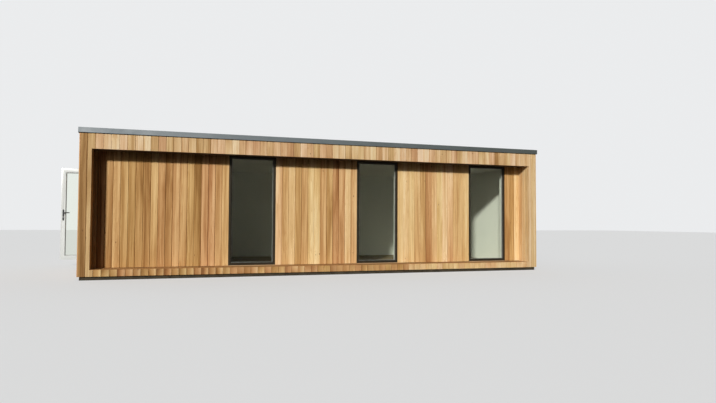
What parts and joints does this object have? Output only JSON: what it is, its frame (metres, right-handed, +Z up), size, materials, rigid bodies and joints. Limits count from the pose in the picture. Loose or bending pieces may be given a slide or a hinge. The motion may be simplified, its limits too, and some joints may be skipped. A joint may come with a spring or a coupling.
{
  "type": "garden office pod",
  "caption": "Flat-roofed garden office clad in upright cedar boards, with a deep boarded front frame, tall fixed windows and a glazed hinged door in its left end.",
  "frame": {"origin": "centre of the pod's plan at ground level, on the underside of the middle bearer; the open door isn't counted", "axes": "+X along the front towards its right end, +Y from the front to the back, +Z up"},
  "size_m": [9.541, 4.2925, 2.5],
  "materials": {
    "treated_timber": "dark treated softwood",
    "deck_board": "sheathing board",
    "floor_board": "oiled boards",
    "timber": "planed softwood",
    "wall_panel": "insulated panel faced with strand board",
    "roof_rubber": "dark rubber sheet",
    "grey_trim": "blue-grey satin paint",
    "rainwater_plastic": "dark grey plastic",
    "cedar": "upright cedar boards, unoiled, colour varying board by board",
    "white_lining": "white painted lining board",
    "dark_frame": "near-black satin frame",
    "glass": "clear sealed double glazing",
    "white_plastic": "white plastic profile",
    "sill_metal": "plain anodised threshold",
    "black_handle": "black satin",
    "white_metal": "white painted hinge"
  },
  "bodies": {
    "pod": {"bearers": "treated_timber", "floor_deck": "deck_board", "floor_boards": "floor_board", "front_sill_beam": "timber", "front_wall_panels": "wall_panel", "back_wall": "wall_panel", "right_wall": "wall_panel", "left_wall_front": "wall_panel", "left_wall_rear": "wall_panel", "head_boards": "timber", "roof_panel": "wall_panel", "roof_membrane": "roof_rubber", "roof_kerb": "timber", "roof_trim": "grey_trim", "rear_drip_trim": "grey_trim", "gutter": "rainwater_plastic", "gutter_brackets": "rainwater_plastic", "downpipe": "rainwater_plastic", "fascia_cladding": "cedar", "cheek_front_cladding": "cedar", "cheek_inner_cladding": "cedar", "ledge_cladding": "cedar", "ledge_top_board": "cedar", "soffit_cladding": "cedar", "front_wall_cladding": "cedar", "left_cladding": "cedar", "left_cladding_over_door": "cedar", "right_cladding": "cedar", "back_cladding": "cedar", "front_lining": "white_lining", "back_lining": "white_lining", "left_lining": "white_lining", "right_lining": "white_lining", "ceiling_lining": "white_lining", "window_frames": "dark_frame", "window_glass": "glass", "window_reveals": "white_lining", "door_frame": "white_plastic", "door_sill": "sill_metal", "hinge_fixed_halves": "white_metal"},
    "door": {"door_leaf": "white_plastic", "door_glass": "glass", "door_lock_strip": "sill_metal", "door_handle_plates": "black_handle", "hinge_moving_halves": "white_metal"},
    "lever": {"door_lever": "black_handle"}
  },
  "joints": [
    {"name": "door_hinge", "type": "hinge", "parent": "pod", "child": "door", "pos_m": [-4.367, 1.669, 1.114], "axis": [0, 0, 1], "range_deg": [-15, 90]},
    {"name": "lever_turn", "type": "hinge", "parent": "door", "child": "lever", "pos_m": [-5.121, 1.627, 1.15], "axis": [0, 1, 0], "range_deg": [0, 40], "stiffness_Nm_per_rad": 1.5, "springref_deg": -17.19}
  ]
}
